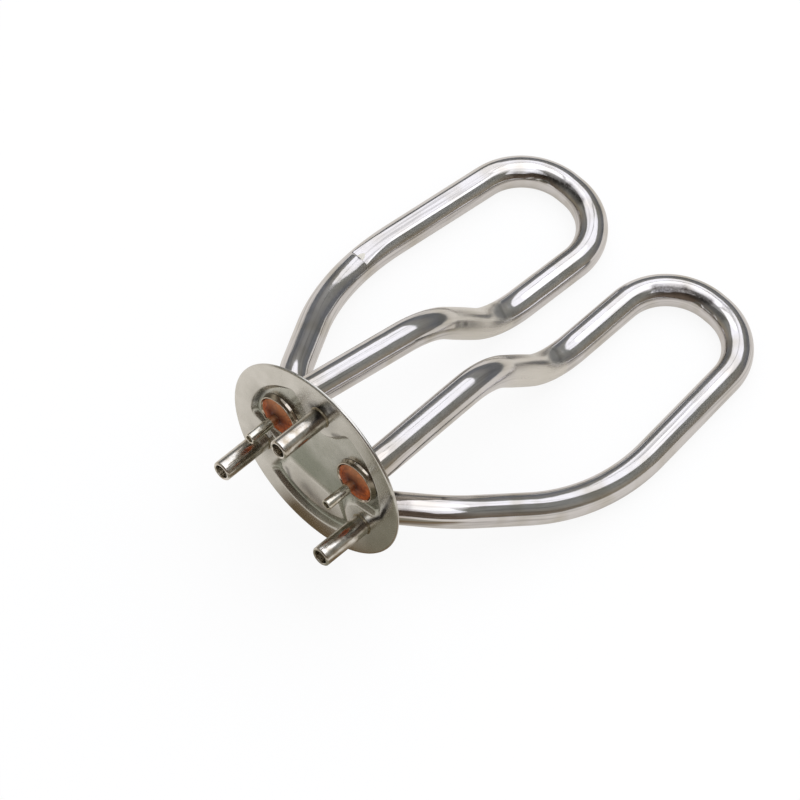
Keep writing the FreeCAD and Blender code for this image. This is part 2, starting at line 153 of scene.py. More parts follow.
def stained(tree: Tree, colour: object, stain: object, *parts: object) -> object:
    """Lay a second colour over a first one where patterns overlap.

    Args:
        tree: tree that gets the nodes.
        colour: first colour, a hex code or a socket.
        stain: second colour, a hex code or a socket.
        parts: the patterns, given as to overlap.

    Returns:
        Output socket of the mixed colour.
    """
    first, second = (linear(tone) if isinstance(tone, str) else tone for tone in (colour, stain))
    inputs = {0: overlap(tree, *parts), 6: first, 7: second}
    return add_node(tree, "Mix", inputs, data_type="RGBA")[2]


# Finishes

@dataclass(frozen=True)
class Finish:
    """What a surface is made of. Each kind below draws its own pattern.

    Attributes:
        name: the real material and how its surface was made.
        slot: name of its material slot; not used.
        colour: main colour, sRGB hex.
        shade: colour of its stains, films or shadows, sRGB hex.
        metallic: 1 for bare metal, 0 for the rest.
        roughness: middle roughness.
        depth: depth of its relief in mm.
        gloss: Specular IOR Level, 0.5 by default.
    """

    name: str
    slot: str
    colour: str
    shade: str
    metallic: float
    roughness: float
    depth: float
    gloss: float = 0.5

    def material(self) -> bpy.types.Material:
        """Make the material the first time, and return it."""
        found = bpy.data.materials.get(self.name)
        if found:
            return found
        made = bpy.data.materials.new(self.name)
        made.use_nodes = True
        tree = made.node_tree
        shader = tree.nodes["Principled BSDF"]
        shader.inputs["Metallic"].default_value = self.metallic
        shader.inputs["Specular IOR Level"].default_value = self.gloss
        colour, roughness, relief = self.draw(tree)
        bump = add_node(tree, "Bump", {"Height": relief, "Distance": self.depth * MM, "Strength": 1.0})
        for name, socket in (("Base Color", colour), ("Roughness", roughness), ("Normal", bump["Normal"])):
            tree.links.new(socket, shader.inputs[name])
        return made

    def draw(self, tree: Tree) -> Sockets:
        """Draw the pattern in the material's tree: each kind has its own.

        Returns:
            Sockets of the colour, the roughness and the relief.
        """
        raise NotImplementedError


@dataclass(frozen=True)
class PlatedTube(Finish):
    """Bright nickel plating on drawn tube: mirror streaks with faint draw lines along the run.

    The pattern follows the tube through its own attributes: lie is the place on the unrolled
    tube in mm, dull is 1 where the press tool held it, straw is 1 beside a braze, and the last is 1
    in a dark mark: a few small real marks, with painted shade and painted dark reflections. Satin and
    straw are the colours of their places, the last colour darkens the marks, and streak is the
    colour of the draw lines, which are wider than real ones, so that they show.
    """

    line_width: float = 0.5
    line_stretch: float = 0.02
    ripple_size: float = 6.0
    grain_size: float = 0.4545
    streak: str = "#9C9A98"
    satin: str = "#DCD9D1"
    straw: str = "#A8926A"
    # colour of the dark marks: a few small real marks, painted shade and painted dark reflections
    soot_and_shade: str = "#2C2420"
    worn_roughness: float = 0.15

    def draw(self, tree: Tree) -> Sockets:
        """Draw lines, slow ripple, film, heat tint, and dark marks that carry painted shade and painted dark
        reflections.
        """
        lie, dull, tint, soot_and_shade_mask = (
            add_node(tree, "Attribute", attribute_name=name)[output]
            for name, output in (("lie", "Vector"), ("dull", "Fac"), ("straw", "Fac"), ("soot_and_shade", "Fac")))
        long_lie = add_node(tree, "Mapping", {"Vector": lie, "Scale": (1.0, 1.0, self.line_stretch)})
        lines, ripple, grain = (
            add_node(tree, "TexNoise", {"Vector": place, "Scale": 1 / size, "Detail": detail})["Fac"]
            for place, size, detail in ((long_lie["Vector"], self.line_width, 3.0),
                                        (lie, self.ripple_size, 1.0), (lie, self.grain_size, 4.0)))
        colour = stained(tree, self.colour, self.shade, (ripple, (0.45, 0.0), (0.8, 0.7)))
        colour = stained(tree, colour, self.streak, (lines, (0.52, 0.0), (0.68, 0.6)))
        colour = stained(tree, colour, self.satin, dull, (grain, (0.3, 0.7), (0.7, 1.0)))
        colour = stained(tree, colour, self.straw, tint)
        # dark marks darken the plating: a few real marks, painted shade and painted dark reflections
        colour = stained(tree, colour, self.soot_and_shade, soot_and_shade_mask, (grain, (0.35, 0.75), (0.6, 1.0)))
        smooth = overlap(tree, (lines, (0.3, self.roughness * 0.7), (0.75, self.roughness * 1.6)))
        rough, relief = (
            add_node(tree, "Math", {0: pattern, 1: share, 2: base}, operation="MULTIPLY_ADD")[0]
            for pattern, share, base in ((dull, self.worn_roughness, smooth), (lines, 0.2, ripple)))
        return colour, rough, relief


@dataclass(frozen=True)
class PressedSheet(Finish):
    """Satin stainless sheet as it leaves the press: a soft grey grain, clouded by heat near the brazes.

    The plate's own attributes say where it is darkened: the first is 1 in braze smoke, painted
    shade and painted dark reflections, and sunk is 1 where a painted shade darkens the sunk floor.
    """

    grain_size: float = 0.35
    cloud_size: float = 7.0
    # colour of the painted shade on the sunk floor
    sunk_shade: str = "#898D7F"
    # colour of the braze smoke, the painted shade and the dark marks
    smoke_and_shade_tone: str = "#35322E"

    def draw(self, tree: Tree) -> Sockets:
        """Draw grain, clouds, the painted shade on the sunk floor, and the braze smoke with the painted shade
        and dark marks.
        """
        place = add_node(tree, "TexCoord")["Object"]
        smoke_and_shade, sunk = (add_node(tree, "Attribute", attribute_name=name)["Fac"]
                        for name in ("smoke_and_shade", "sunk"))
        grain, cloud = (
            add_node(tree, "TexNoise", {"Vector": place, "Scale": per_size(size), "Detail": detail,
                                                  "Roughness": rough})["Fac"]
            for size, detail, rough in ((self.grain_size, 4.0, 0.65), (self.cloud_size, 5.0, 0.5)))
        colour = stained(tree, self.colour, self.shade, (cloud, (0.35, 0.0), (0.7, 1.0)))
        # painted shade on the sunk floor
        colour = stained(tree, colour, self.sunk_shade, sunk, (cloud, (0.35, 0.7), (0.65, 1.0)))
        # braze smoke, painted shade and painted dark reflections darken the sheet here
        colour = stained(tree, colour, self.smoke_and_shade_tone, smoke_and_shade, (cloud, (0.4, 0.5), (0.6, 1.0)))
        rough = overlap(tree, (grain, (0.3, self.roughness * 0.8), (0.7, self.roughness * 1.25)))
        return colour, rough, grain


@dataclass(frozen=True)
class TurnedSteel(Finish):
    """Turned and plated steel: bright, with fine tool rings round it and a brown film in the grooves.

    The rings are several times as far apart as real ones, so that they show.
    """

    ring_pitch: float = 1.38
    film_size: float = 2.2

    def draw(self, tree: Tree) -> Sockets:
        """Draw tool rings and film. The wave repeats every tau / 20 of its coordinates."""
        place = add_node(tree, "TexCoord")["Object"]
        rings = add_node(tree, "TexWave", {
            "Vector": place, "Scale": per_size(self.ring_pitch) * math.tau / 20, "Distortion": 0.6,
            "Detail": 2.0, "Detail Scale": 0.6}, bands_direction="Y")["Fac"]
        cloud = add_node(tree, "TexNoise", {
            "Vector": place, "Scale": per_size(self.film_size), "Detail": 4.0})["Fac"]
        colour = stained(tree, self.colour, self.shade, (cloud, (0.4, 0.0), (0.72, 0.9)))
        rough = overlap(tree, (cloud, (0.3, self.roughness * 0.8), (0.75, self.roughness * 1.5)))
        return colour, rough, rings


@dataclass(frozen=True)
class PouredSeal(Finish):
    """Poured silicone: orange-red, glossy where it skinned over, mottled by its filler.

    Painted shade darkens it round the pin, between two distances from its axis, and a painted
    sheen lightens its upper part, between two levels. The left pin is the mirror image of the
    right one.
    """

    speck_size: float = 0.5
    cloud_size: float = 2.5
    # painted shade round the pin: its colour, and the distances from the axis over which it fades out
    pin_shade: str = "#481D0A"
    pin_shade_edges: Pair = (1.4, 4.2)
    # painted sheen on the upper part: its colour, and the levels over which it comes in
    upper_sheen: str = "#B8946E"
    upper_sheen_levels: Pair = (5.0, 8.6)

    def draw(self, tree: Tree) -> Sockets:
        """Draw filler mottle, painted shade round the pin, a painted sheen on the upper part and a skin that
        is shinier in patches.
        """
        place = add_node(tree, "TexCoord")["Object"]
        speck, cloud = (
            add_node(tree, "TexNoise", {"Vector": place, "Scale": per_size(size),
                                                  "Detail": 3.0})["Fac"]
            for size in (self.speck_size, self.cloud_size))
        mottle = add_node(tree, "Math", {
            0: overlap(tree, (speck, (0.35, 0.0), (0.65, 1.0))), 1: 0.7,
            2: overlap(tree, (cloud, (0.3, 0.0), (0.7, 0.5)))}, operation="MULTIPLY_ADD")[0]
        colour = stained(tree, self.colour, self.shade, mottle)
        mirrored = add_node(tree, "VectorMath", {0: place}, operation="ABSOLUTE")["Vector"]
        flat = add_node(tree, "VectorMath", {0: mirrored, 1: (1.0, 0.0, 1.0)},
                        operation="MULTIPLY")["Vector"]
        pin = (LEG_ACROSS * MM, 0.0, LEG_HEIGHT * MM)
        away = add_node(tree, "VectorMath", {0: flat, 1: pin}, operation="DISTANCE")["Value"]
        height = add_node(tree, "SeparateXYZ", {0: place})["Z"]
        # painted shade, darkest near the pin
        near, far = self.pin_shade_edges
        colour = stained(tree, colour, self.pin_shade, (away, (near * MM, 0.9), (far * MM, 0.0)))
        # painted sheen, lighter towards the top
        low, high = self.upper_sheen_levels
        colour = stained(tree, colour, self.upper_sheen, (height, (low * MM, 0.0), (high * MM, 0.4)))
        rough = overlap(tree, (cloud, (0.3, self.roughness * 0.7), (0.7, self.roughness * 1.4)))
        return colour, rough, speck


@dataclass(frozen=True)
class CastLump(Finish):
    """Melted, fired, packed or oxidised stuff: soft lumps with a darker skin in the hollows."""

    lump_size: float = 0.8

    def draw(self, tree: Tree) -> Sockets:
        """Draw lumps with a darker skin in the hollows."""
        place = add_node(tree, "TexCoord")["Object"]
        lump = add_node(tree, "TexNoise", {
            "Vector": place, "Scale": per_size(self.lump_size), "Detail": 4.0})["Fac"]
        colour = stained(tree, self.shade, self.colour, (lump, (0.35, 0.0), (0.7, 1.0)))
        rough = overlap(tree, (lump, (0.3, self.roughness * 1.2), (0.7, self.roughness * 0.8)))
        return colour, rough, lump


TUBE_PLATING = PlatedTube("bright_nickel_plating", "sheath_plating", "#DAD8D8", "#BDB7A8", 1.0, 0.09, 0.05)
PLATE_STEEL = PressedSheet("pressed_stainless_sheet", "plate_steel", "#D6D4CE", "#C3C1B9", 1.0, 0.24, 0.006)
STUD_STEEL = TurnedSteel("turned_bright_steel", "stud_steel", "#DAD7D0", "#A89C88", 1.0, 0.18, 0.004)
# The pins' plating is warmer than the studs' steel, and their tool rings are closer.
PIN_STEEL = TurnedSteel("plated_terminal_steel", "terminal_steel", "#D8D5CB", "#B0A58C", 1.0, 0.16, 0.004,
                        ring_pitch=0.987)
SEAL_SILICONE = PouredSeal("poured_orange_silicone", "seal_silicone", "#BE5C16", "#78340A", 0.0, 0.6, 0.02,
                           gloss=0.25)
# Silver braze that ran and froze: dull metal, brown in the hollows.
BRAZE_ALLOY = CastLump("dull_silver_braze", "braze_metal", "#BDB49C", "#7A6E5A", 1.0, 0.4, 0.03)
# Fired ceramic: off-white and matt.
BEAD_CERAMIC = CastLump("fired_ceramic_bead", "bead_ceramic", "#E4E0D4", "#CFCABB", 0.0, 0.6, 0.03)
# Packed powder: chalky white, with finer lumps.
MAGNESIA = CastLump("packed_magnesia_powder", "magnesia_powder", "#E8E5DC", "#D4D0C4", 0.0, 0.9, 0.03,
                    lump_size=0.4)
# Resistance wire: dark grey under its oxide.
WINDING = CastLump("oxidised_resistance_wire", "winding_wire", "#6E6A66", "#46423E", 1.0, 0.55, 0.03,
                   lump_size=0.5)


# Mesh tools

def placed(shape: Shape, name: str, material: bpy.types.Material | None = None) -> Piece:
    """Put a shape in the scene.

    Args:
        shape: the shape in metres, which is freed.
        name: name of the object and of its mesh.
        material: its material, where it needs one.

    Returns:
        The new object.
    """
    mesh = bpy.data.meshes.new(name)
    shape.to_mesh(mesh)
    shape.free()
    if material:
        mesh.materials.append(material)
    piece = bpy.data.objects.new(name, mesh)
    bpy.context.scene.collection.objects.link(piece)
    return piece


def finished(shape: Shape, name: str, finish: Finish, replaced: Sequence[str] = (),
             crease: float = 35.0) -> Piece:
    """Turn a shape into a piece that is dressed, rides on the body and stands for its nodes.

    Args:
        shape: the shape in metres, which is freed.
        name: name of the piece.
        finish: its finish.
        replaced: nodes that it stands for.
        crease: angle in degrees from which an edge stays sharp.

    Returns:
        The new object.
    """
    limit = math.radians(crease)
    for face in shape.faces:
        face.smooth = True
    for edge in shape.edges:
        edge.smooth = len(edge.link_faces) == 2 and edge.calc_face_angle() < limit
    piece = placed(shape, name, finish.material())
    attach(piece, BODY)
    if replaced:
        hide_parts(*replaced)
    LOG.info("%s: %d faces", name, len(piece.data.polygons))
    return piece


def turned(profile: Sequence[Pair], centre: Pair, steps: int = 72, soften: float = 0.0,
           cuts: int = 0) -> Shape:
    """Turn a profile about an axis along Y.

    Args:
        profile: closed or axis-to-axis chain of radius and level, mm.
        centre: where the axis stands, X and Z in mm.
        steps: flats round the turn.
        soften: width of the small bevel on each sharp edge, mm.
        cuts: points added on the first and the last stretch.

    Returns:
        The closed shape, in metres.
    """
    shape = bmesh.new()
    points = [shape.verts.new((radius * MM, level * MM, 0)) for radius, level in profile]
    chain = list(zip(points, points[1:]))
    if profile[0][0] > 0:
        chain.append((points[-1], points[0]))
    edges = [shape.edges.new(pair) for pair in chain]
    if cuts:
        bmesh.ops.subdivide_edges(shape, edges=[edges[0], edges[-1]], cuts=cuts)
    bmesh.ops.spin(shape, geom=list(shape.verts) + list(shape.edges), cent=(0, 0, 0), axis=(0, 1, 0),
                   dvec=(0, 0, 0), angle=math.tau, steps=steps, use_merge=True, use_duplicate=False)
    bmesh.ops.remove_doubles(shape, verts=shape.verts, dist=WELD)
    bmesh.ops.recalc_face_normals(shape, faces=shape.faces)
    if soften:
        sharp = [edge for edge in shape.edges if len(edge.link_faces) == 2 and edge.calc_face_angle() > SHARP]
        bmesh.ops.bevel(shape, geom=sharp, offset=soften * MM, offset_type="OFFSET", segments=2,
                        profile=0.5, affect="EDGES", clamp_overlap=True, material=-1)
    bmesh.ops.translate(shape, verts=shape.verts, vec=(centre[0] * MM, 0, centre[1] * MM))
    return shape


def roughen(shape: Shape, size: float, depth: float,
            where: Callable[[Vector], float] = lambda place: 1.0) -> None:
    """Move the points of a shape along their normals by a smooth noise.

    Args:
        shape: shape in metres.
        size: width of a lump, mm.
        depth: highest move, mm.
        where: share of the move at a place.
    """
    shape.normal_update()
    for vert in shape.verts:
        swell = noise.noise(vert.co * per_size(size)) * depth * MM * where(vert.co)
        vert.co += vert.normal * swell


def eased(rise: float, round_off: float) -> float:
    """Ramp from 0 to 1 whose two corners are rounded.

    Args:
        rise: place on the ramp, 0 at its foot and 1 at its head.
        round_off: half length of each rounded corner, as a share of the ramp.

    Returns:
        Height between 0 and 1.
    """
    if rise <= -round_off:
        return 0.0
    if rise < round_off:
        return (rise + round_off) ** 2 / (4 * round_off)
    if rise <= 1 - round_off:
        return rise
    if rise < 1 + round_off:
        return 1 - (1 + round_off - rise) ** 2 / (4 * round_off)
    return 1.0


def soft_least(first: float, second: float, width: float) -> float:
    """Lesser of two distances, with the corner between them rounded over a width."""
    share = max(width - abs(first - second), 0.0) / width
    return min(first, second) - share * share * width / 4


@dataclass(frozen=True)
class Mark:
    """Dark streak on a surface, round the line between two places.

    Its strength is how dark it is on the line, and its reach is how far off it has faded to about
    a third, in mm as the places are.
    """

    start: tuple[float, ...]
    end: tuple[float, ...]
    reach: float
    strength: float

    def darken(self, places: Sequence[Vector], falloff: int) -> list[float]:
        """How dark the mark makes each of many places.

        Args:
            places: places in mm, with as many axes as the mark's ends.
            falloff: 2 for a soft edge, 3 for a firmer one.

        Returns:
            For each place, a darkness from 0 to the mark's strength.
        """
        start = Vector(self.start)
        along = Vector(self.end) - start
        square = along.length_squared
        found = []
        for place in places:
            offset = place - start
            away = (offset - along * held(offset.dot(along) / square)).length / self.reach
            found.append(self.strength * math.exp(-away ** falloff))
        return found


# The head plate and what stands on it

class Seat(Enum):
    """Where the three studs stand on the plate, X and Z in mm."""

    TOP = (0.0, 16.6)
    LEFT = (-15.3, -8.1)
    RIGHT = (15.3, -8.1)


class Side(Enum):
    """The two ends of the tube."""

    LEFT = -1
    RIGHT = 1

    def leg(self) -> Pair:
        """Where this side's leg stands on the plate, X and Z in mm."""
        return self.value * LEG_ACROSS, LEG_HEIGHT


@dataclass
class HeadPlate:
    """Pressed round sheet: rolled rim, sunk floor, a tongue under each stud and the raised pad.

    A wall is the slope between two levels, and its shift is how much further out it stands on the
    wet face, so that the sheet keeps its thickness. The pad's wall widens to the brow at its top.
    Each ease rounds the corners of a slope, as a share of its length. The dark marks lie on the dry
    face, at X and Z: painted shade along the right rim and down the right stud's tongue, painted
    dark reflections and shade on the pad's lower-left, and dark patches round the top stud and on
    the left rim. The ring round each braze is its smoke, with painted shade at the foot of each
    stud and bell.
    """

    radius: float = 25.0
    thickness: float = 0.8
    edge_round: float = 0.55
    edge_steps: int = 5
    burr_round: float = 0.1
    roll_width: float = 2.2
    roll_depth: float = 0.05
    sink: float = 1.2
    rim_radius: float = 19.8
    wall: float = 1.2
    wall_shift: float = 0.254
    wall_ease: float = 0.2
    tongue_radius: float = 5.2
    tongue_flare: float = 40.0
    pad_radius: float = 17.0
    pad_top: float = 7.5
    pad_gap: float = 6.5
    pad_wall: float = 0.55
    pad_shift: float = 0.229
    pad_ease: float = 0.28
    pad_rise: float = 0.5
    brow: float = 1.3
    brow_drop: float = 3.5
    brow_length: float = 2.0
    brow_ease: float = 0.3
    corner: float = 1.6
    hole_radius: float = 3.75
    drill_length: float = 6.0
    # ring round each braze: smoke from brazing, and painted shade at the foot of each stud and bell
    stud_smoke_and_shade: Pair = (2.6, 1.2)
    leg_smoke_and_shade: Pair = (5.3, 1.5)
    smoke_and_shade_strength: float = 0.4
    # painted shade on the sunk floor: full below a level, thinning upwards over a drop to its least share
    sunk_shade_top: float = 8.0
    sunk_shade_drop: float = 11.0
    sunk_shade_least: float = 0.55
    # dark marks, in order: painted shade along the right rim and down the right stud's tongue, dark patches
    # round the top stud and on the left rim, and painted dark reflections and shade on the pad's lower-left
    shade_and_dark_marks: tuple[Mark, ...] = (
        Mark((22.3, 10.0), (21.1, 3.8), 0.5, 0.9), Mark((21.1, 3.8), (20.4, 0.0), 0.45, 1.5),
        Mark((20.4, 0.0), (17.0, -5.0), 0.5, 1.5), Mark((-2.0, 18.2), (1.0, 20.5), 1.6, 1.6),
        Mark((1.0, 20.5), (2.9, 22.9), 1.4, 1.0), Mark((-19.0, 2.4), (-16.6, 9.0), 0.7, 0.7),
        Mark((4.2, 14.4), (6.2, 15.8), 0.7, 0.6), Mark((-2.0, -13.5), (4.6, -15.5), 1.8, 0.5),
        Mark((-8.0, -12.6), (-6.6, -15.6), 0.7, 0.8), Mark((-6.6, -15.6), (-2.2, -17.8), 0.8, 0.8))
    steps: int = 320
    rings: int = 150

    def wall_distance(self, x: float, z: float) -> float:
        """Measure how far inside the sunk floor a place lies.

        Args:
            x: place across, mm.
            z: place up, mm.

        Returns:
            Distance in mm from the foot line of its wall, above 0 inside it.
        """
        reach = self.rim_radius - math.hypot(x, z)
        flare = math.radians(self.tongue_flare)
        for seat in Seat:
            centre = Vector(seat.value)
            outward = centre.normalized()
            offset = Vector((x, z)) - centre
            along = offset.dot(outward)
            aside = abs(offset.cross(outward))
            if along * math.cos(flare) + aside * math.sin(flare) > 0:
                away = aside * math.cos(flare) - along * math.sin(flare)
            else:
                away = offset.length
            reach = soft_least(reach, away - self.tongue_radius, self.corner)
        return reach

    def pad_distance(self, x: float, z: float) -> float:
        """Measure how far inside the raised pad a place lies.

        Args:
            x: place across, mm.
            z: place up, mm.

        Returns:
            Distance in mm from its foot line, above 0 inside it.
        """
        reach = soft_least(self.pad_radius - math.hypot(x, z), -self.pad_top - z, self.corner)
        for seat in (Seat.LEFT, Seat.RIGHT):
            away = math.hypot(x - seat.value[0], z - seat.value[1]) - self.pad_gap
            reach = soft_least(reach, away, self.corner)
        return reach

    def pressed(self, x: float, z: float, back: bool) -> float:
        """How far the press moved the sheet at a place.

        Args:
            x: place across, mm.
            z: place up, mm.
            back: True for the wet face, whose walls stand a little further out.

        Returns:
            The move to +Y in mm.
        """
        wall = self.wall_distance(x, z) + (self.wall_shift if back else 0)
        pad = self.pad_distance(x, z) - (self.pad_shift if back else 0)
        sunk = self.sink * eased(wall / self.wall, self.wall_ease)
        brow_share = eased((z + self.pad_top + self.brow_drop) / self.brow_length, self.brow_ease)
        slope = self.pad_wall + (self.brow - self.pad_wall) * brow_share
        raised = self.sink - self.pad_rise * eased(pad / slope, self.pad_ease)
        roll = max(0.0, math.hypot(x, z) - self.radius + self.roll_width) / self.roll_width
        return min(sunk, raised) + (0 if back else self.roll_depth * roll ** 2)

    def build(self) -> Piece:
        """Turn the blank, press it, pierce the two leg holes and note its stains and painted shade."""
        radius, edge, burr, thick = self.radius, self.edge_round, self.burr_round, self.thickness
        turns = [math.pi / 2 * step / self.edge_steps for step in range(self.edge_steps + 1)]
        outline = [(radius - edge + edge * math.sin(turn), edge - edge * math.cos(turn)) for turn in turns]
        outline += [(radius - burr + burr * math.cos(turn), thick - burr + burr * math.sin(turn))
                    for turn in turns]
        shape = turned([(0, 0), *outline, (0, thick)], (0, 0), self.steps, cuts=self.rings)
        for vert in shape.verts:
            back = vert.co.y > self.thickness * MM / 2
            vert.co.y += self.pressed(vert.co.x / MM, vert.co.z / MM, back) * MM
        piece = finished(shape, "pressed_head_plate", PLATE_STEEL, ["head_plate"])
        self.pierce(piece)
        self.note_stains_and_shade(piece)
        return piece

    def pierce(self, piece: Piece) -> None:
        """Cut the two leg holes through the sheet.

        Args:
            piece: the pressed plate.
        """
        drill = bmesh.new()
        for side in Side:
            across, height = side.leg()
            centre = Vector((across, self.sink, height)) * MM
            place = Matrix.Translation(centre) @ Matrix.Rotation(math.pi / 2, 4, "X")
            bmesh.ops.create_cone(drill, cap_ends=True, segments=96, radius1=self.hole_radius * MM,
                                  radius2=self.hole_radius * MM, depth=self.drill_length * MM, matrix=place)
        bmesh.ops.recalc_face_normals(drill, faces=drill.faces)
        tool = placed(drill, "drill")
        cutter = piece.modifiers.new("leg_holes", "BOOLEAN")
        cutter.operation = "DIFFERENCE"
        cutter.solver = "EXACT"
        cutter.object = tool
        seen = piece.evaluated_get(bpy.context.evaluated_depsgraph_get())
        cut_mesh = bpy.data.meshes.new_from_object(seen)
        piece.modifiers.clear()
        piece.data = cut_mesh
        piece.data.materials.clear()
        piece.data.materials.append(PLATE_STEEL.material())
        bpy.data.objects.remove(tool)

    def note_stains_and_shade(self, piece: Piece) -> None:
        """Write how much braze smoke, painted shade and dark marks each point carries, and how much painted
        shade lies on the sunk floor.

        Args:
            piece: the pierced plate.
        """
        points = piece.data.vertices
        places = [Vector((point.co.x, point.co.z)) / MM for point in points]
        brazes = [(Vector(seat.value), *self.stud_smoke_and_shade) for seat in Seat]
        brazes += [(Vector(side.leg()), *self.leg_smoke_and_shade) for side in Side]
        dark = [max(self.smoke_and_shade_strength * math.exp(-max(0.0, (place - centre).length - edge) / fade)
                    for centre, edge, fade in brazes) for place in places]
        front = [number for number, point in enumerate(points)
                 if point.co.y / MM < self.pressed(*places[number], False) + self.thickness / 2]
        # painted shade and dark marks, on the dry face only
        for mark in self.shade_and_dark_marks:
            for number, value in zip(front, mark.darken([places[number] for number in front], 2)):
                dark[number] = max(dark[number], value)
        # painted shade on the sunk floor, darker towards its foot
        sunk_shade = [self.sunk_shade_share(*place) for place in places]
        for name, values in (("smoke_and_shade", dark), ("sunk", sunk_shade)):
            piece.data.attributes.new(name, "FLOAT", "POINT").data.foreach_set("value", values)

    def sunk_shade_share(self, x: float, z: float) -> float:
        """Share of the painted shade at a place in mm: on the sunk floor, thinner towards its top."""
        thick = self.sunk_shade_least + (1 - self.sunk_shade_least) * held((self.sunk_shade_top - z) / self.sunk_shade_drop)
        return thick * held(self.wall_distance(x, z) / self.wall) * (1 - held(self.pad_distance(x, z)))


@dataclass
class FixingStud:
    """Hollow turned stud on its tongue of the plate, with the braze round its foot."""

    radius: float = 2.4
    length: float = 13.0
    bore: float = 1.65
    bore_depth: float = 9.5
    drill_point: float = 0.8
    chamfer: float = 0.3
    lip: float = 0.15
    soften: float = 0.06
    foot: float = 0.3
    foot_waist: float = 0.12
    foot_gap: float = 0.01
    foot_lump: Pair = (1.8, 0.01)

    def build(self, seat: Seat) -> None:
        """Turn the stud and its braze.

        Args:
            seat: where they stand on the plate.
        """
        word = seat.name.lower()
        end = -self.length
        shape = turned([
            (0, 0), (self.radius, 0), (self.radius, end + self.chamfer),
            (self.radius - self.chamfer, end), (self.bore + self.lip, end), (self.bore, end + self.lip),
            (self.bore, end + self.bore_depth), (0, end + self.bore_depth + self.drill_point),
        ], seat.value, 80, self.soften)
        finished(shape, "turned_stud_" + word, STUD_STEEL, ["fixing_stud_" + word], 50)
        waist = self.radius + self.foot_waist
        ring = turned([(self.radius + self.foot_gap, 0), (self.radius + self.foot, -self.foot_gap),
                       (waist, -self.foot / 4), (waist, -self.foot * 0.6),
                       (self.radius + self.foot_gap, -self.foot)], seat.value)
        roughen(ring, *self.foot_lump)
        finished(ring, "stud_fillet_" + word, BRAZE_ALLOY, ["stud_braze_" + word], 60)


@dataclass
class TubeEnd:
    """Sealed end of the tube: hollow terminal pin, poured seal and the braze behind the plate.

    The seal domes from its top at the pin to its rim at the bell, creeps a little up the pin and
    narrows to a neck inside the bell. A lump is given by its width and its height.
    """

    pin_radius: float = 1.25
    pin_bore: float = 0.8
    pin_bore_depth: float = 6.0
    pin_end: float = -8.8
    pin_root: float = 1.9
    pin_lip: float = 0.1
    pin_soften: float = 0.03
    drill_point: float = 0.3
    seal_rim: float = 4.68
    seal_top: float = -0.4
    seal_level: float = 0.05
    seal_shoulder: Pair = (4.35, 0.32)
    seal_neck: Pair = (3.05, 0.75)
    seal_root: float = 2.2
    seal_gap: float = 0.02
    seal_lump: Pair = (1.6, 0.1)
    dome_steps: int = 12
    dome_power: float = 2.2
    dome_crown: float = 0.1
    creep: float = 0.3
    creep_fade: float = 9.0
    leg_radius: float = 3.7
    floor_back: float = 2.0
    leg_gap: float = 0.03
    leg_fillet: float = 1.1
    leg_lump: Pair = (1.5, 0.12)

    def build(self, side: Side) -> None:
        """Build the pin, the seal and the braze of one end.

        Args:
            side: which end of the tube it is.
        """
        word, centre = side.name.lower(), side.leg()
        lip, floor = self.pin_lip, self.pin_end + self.pin_bore_depth
        pin = turned([
            (0, self.pin_root), (self.pin_radius, self.pin_root), (self.pin_radius, self.pin_end + lip),
            (self.pin_radius - lip, self.pin_end), (self.pin_bore + lip, self.pin_end),
            (self.pin_bore, self.pin_end + lip), (self.pin_bore, floor), (0, floor + self.drill_point),
        ], centre, 64, self.pin_soften)
        finished(pin, "hollow_pin_" + word, PIN_STEEL, ["terminal_pin_" + word], 50)
        self.build_seal(word, centre)
        self.build_fillet(word, centre)

    def build_seal(self, word: str, centre: Pair) -> None:
        """Build the domed seal, which creeps a little up the pin and sags towards its rim.

        Args:
            word: word for the side, which ends the piece's name.
            centre: X and Z of the tube's axis, mm.
        """
        inner = self.pin_radius + self.seal_gap
        profile = []
        for step in range(self.dome_steps + 1):
            share = step / self.dome_steps
            level = self.seal_top + (self.seal_level - self.seal_top) * share ** self.dome_power
            level += self.dome_crown * (1 - share) - self.creep * math.exp(-share * self.creep_fade)
            profile.append((inner + (self.seal_rim - inner) * share, level))
        profile += [self.seal_shoulder, self.seal_neck, (self.seal_neck[0], self.seal_root),
                    (inner, self.seal_root)]
        seal = turned(profile, centre, 96)
        roughen(seal, *self.seal_lump, lambda place: 1.0 if place.y < 0 else 0.0)
        finished(seal, "poured_seal_" + word, SEAL_SILICONE, ["end_seal_" + word], 50)

    def build_fillet(self, word: str, centre: Pair) -> None:
        """Build the hollow-sided braze in the corner between the leg and the plate's back.

        Args:
            word: word for the side, which ends the piece's name.
            centre: X and Z of the tube's axis, mm.
        """
        root = self.leg_radius + self.leg_gap
        shape = turned([(root + self.leg_fillet * out, self.floor_back + self.leg_fillet * up)
                        for out, up in ((0, 0), (1, 0.01), (0.45, 0.2), (0.15, 0.5), (0, 1))], centre, 96)
        roughen(shape, *self.leg_lump, lambda place: min(1.0, (place.y / MM - self.floor_back) * 3))
        finished(shape, "leg_fillet_" + word, BRAZE_ALLOY, ["leg_braze_" + word], 60)


# The sheath tube

@dataclass
class Ring:
    """One ring of the tube's skin: its points, its centre in metres, its heading and its run in mm."""

    points: list[bmesh.types.BMVert]
    centre: Vector
    heading: Vector
    run: float


@dataclass(frozen=True)
class Press:
    """Short stretch of the run that a press tool worked on.

    Its middle lies so many mm past the start of a bend. Its depth is what the tool does there, and
    its reach is how far off that has faded to about a third.
    """

    bend: int
    past: float
    reach: float
    depth: float

    def share(self, run: float, bend_starts: Sequence[float]) -> float:
        """How much the tool does at a distance along the run."""
        return self.depth * math.exp(-((run - bend_starts[self.bend] - self.past) / self.reach) ** 2)


